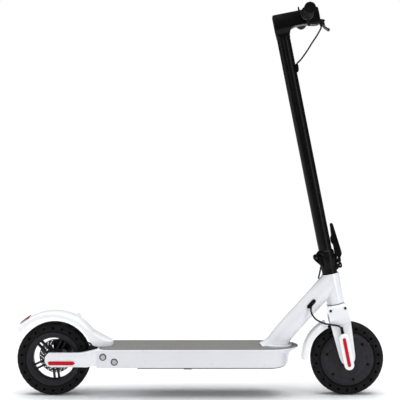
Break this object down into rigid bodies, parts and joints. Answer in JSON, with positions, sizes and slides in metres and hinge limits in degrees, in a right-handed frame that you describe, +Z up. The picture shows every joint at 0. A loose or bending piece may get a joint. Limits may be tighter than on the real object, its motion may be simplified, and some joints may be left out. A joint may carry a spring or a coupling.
{
  "type": "electric kick scooter",
  "caption": "Folding electric kick scooter with a white deck and fork, black stem, hub motor wheel, disc brake and hinged stem.",
  "frame": {"origin": "on the ground, midway between the front and rear axles, on the middle plane", "axes": "+X forward towards the front wheel, +Y to the rider's left along the handlebar, +Z up"},
  "size_m": [1.0764, 0.43, 1.145],
  "materials": {
    "white_paint": "gloss",
    "black_paint": "satin",
    "dark_cast": "satin",
    "black_plastic": "matte",
    "display_glass": "gloss",
    "grip_rubber": "matte",
    "tyre_rubber": "matte",
    "mat_rubber": "matte",
    "red_reflector": "gloss",
    "tail_lens": "gloss",
    "bare_steel": "satin",
    "clear_lens": "gloss",
    "cable_sheath": "matte",
    "battery_wrap": "matte",
    "white_plastic": "gloss"
  },
  "bodies": {
    "frame": {"deck_shell": "white_paint", "deck_mat": "mat_rubber", "bottom_cover": "black_plastic", "battery_pack": "battery_wrap", "motor_controller": "dark_cast", "neck_tube": "white_paint", "charge_port": "black_plastic", "head_tube": "white_paint", "lower_head_bearing": "bare_steel", "upper_head_bearing": "bare_steel", "rear_arm_right": "white_paint", "rear_arm_left": "white_paint", "rear_reflector_right": "red_reflector", "rear_reflector_left": "red_reflector", "rear_axle": "bare_steel", "rear_fender": "white_plastic", "tail_light": "tail_lens", "brake_caliper": "black_paint", "rear_brake_cable": "cable_sheath", "cable_gland": "grip_rubber", "motor_cable": "cable_sheath", "lower_brake_cable": "cable_sheath", "kickstand_bracket": "black_paint"},
    "fork": {"fork_crown": "white_paint", "fork_leg_right": "white_paint", "fork_leg_left": "white_paint", "fork_cover_right": "white_plastic", "fork_cover_left": "white_plastic", "front_reflector_right": "red_reflector", "front_reflector_left": "red_reflector", "front_fender": "white_plastic", "motor_axle": "bare_steel", "fold_base": "black_paint", "hinge_pin": "bare_steel"},
    "stem": {"stem_foot": "black_paint", "stem_tube": "black_paint", "stem_head": "black_paint", "headlight_lens": "clear_lens", "dashboard": "display_glass", "handlebar": "black_paint", "grip_right": "grip_rubber", "grip_left": "grip_rubber", "bell": "black_plastic", "brake_bracket": "black_paint", "stem_grommet": "grip_rubber", "brake_cable": "cable_sheath"},
    "fold_lever_body": {"fold_lever": "black_paint"},
    "lock_hook_body": {"lock_hook": "black_paint"},
    "front_wheel": {"front_tyre": "tyre_rubber", "motor_shell": "dark_cast"},
    "rear_wheel": {"rear_tyre": "tyre_rubber", "rear_rim": "dark_cast", "brake_rotor": "bare_steel"},
    "throttle_body": {"throttle": "black_plastic"},
    "brake_lever_body": {"brake_lever": "black_paint"},
    "caliper_arm_body": {"caliper_arm": "bare_steel"},
    "power_button_body": {"power_button": "black_plastic"},
    "bell_striker_body": {"bell_striker": "bare_steel"},
    "kickstand_body": {"kickstand": "black_paint"},
    "charge_cap_body": {"charge_port_cap": "grip_rubber"}
  },
  "joints": [
    {"name": "steering", "type": "hinge", "parent": "frame", "child": "fork", "pos_m": [0.431, 0, 0.1075], "axis": [-0.1959, 0, 0.9806], "range_deg": [-55, 55], "deforming": ["motor_cable", "lower_brake_cable"]},
    {"name": "stem_fold", "type": "hinge", "parent": "fork", "child": "stem", "pos_m": [0.34025, 0, 0.40346], "axis": [0, -1, 0], "range_deg": [0, 92]},
    {"name": "fold_lever_turn", "type": "hinge", "parent": "fork", "child": "fold_lever_body", "pos_m": [0.40222, 0, 0.40462], "axis": [0, 1, 0], "range_deg": [0, 90]},
    {"name": "lock_hook_turn", "type": "hinge", "parent": "fork", "child": "lock_hook_body", "pos_m": [0.4034, 0, 0.38854], "axis": [0, 1, 0], "range_deg": [0, 14], "stiffness_Nm_per_rad": 0.05},
    {"name": "front_wheel_spin", "type": "hinge", "parent": "fork", "child": "front_wheel", "pos_m": [0.431, 0, 0.1075], "axis": [0, 1, 0], "continuous": true},
    {"name": "rear_wheel_spin", "type": "hinge", "parent": "frame", "child": "rear_wheel", "pos_m": [-0.431, 0, 0.1075], "axis": [0, 1, 0], "continuous": true},
    {"name": "throttle_turn", "type": "hinge", "parent": "stem", "child": "throttle_body", "pos_m": [0.30723, -0.084, 1.10967], "axis": [0, -1, 0], "range_deg": [0, 35], "stiffness_Nm_per_rad": 0.1},
    {"name": "brake_lever_turn", "type": "hinge", "parent": "stem", "child": "brake_lever_body", "pos_m": [0.36331, 0.092, 1.10368], "axis": [0.1063, 0, 0.9943], "range_deg": [0, 18], "stiffness_Nm_per_rad": 1},
    {"name": "caliper_arm_turn", "type": "hinge", "parent": "frame", "child": "caliper_arm_body", "pos_m": [-0.398, 0.0465, 0.15], "axis": [0, 1, 0], "range_deg": [0, 18]},
    {"name": "power_button_press", "type": "slide", "parent": "stem", "child": "power_button_body", "axis": [0.1959, 0, -0.9806], "range_m": [0, 0.0011], "stiffness_N_per_m": 300},
    {"name": "bell_striker_turn", "type": "hinge", "parent": "stem", "child": "bell_striker_body", "pos_m": [0.29301, 0.053, 1.12468], "axis": [0, -1, 0], "range_deg": [0, 20], "stiffness_Nm_per_rad": 0.02},
    {"name": "kickstand_turn", "type": "hinge", "parent": "frame", "child": "kickstand_body", "pos_m": [-0.04, 0.061, 0.07394], "axis": [0, -0.75, -0.6614], "range_deg": [0, 115]},
    {"name": "charge_cap_turn", "type": "hinge", "parent": "frame", "child": "charge_cap_body", "pos_m": [0.15, 0.0804, 0.1325], "axis": [1, 0, 0], "range_deg": [0, 100]}
  ],
  "couplings": [
    {"joint": "caliper_arm_turn", "follows": "brake_lever_turn", "ratio": 1}
  ]
}
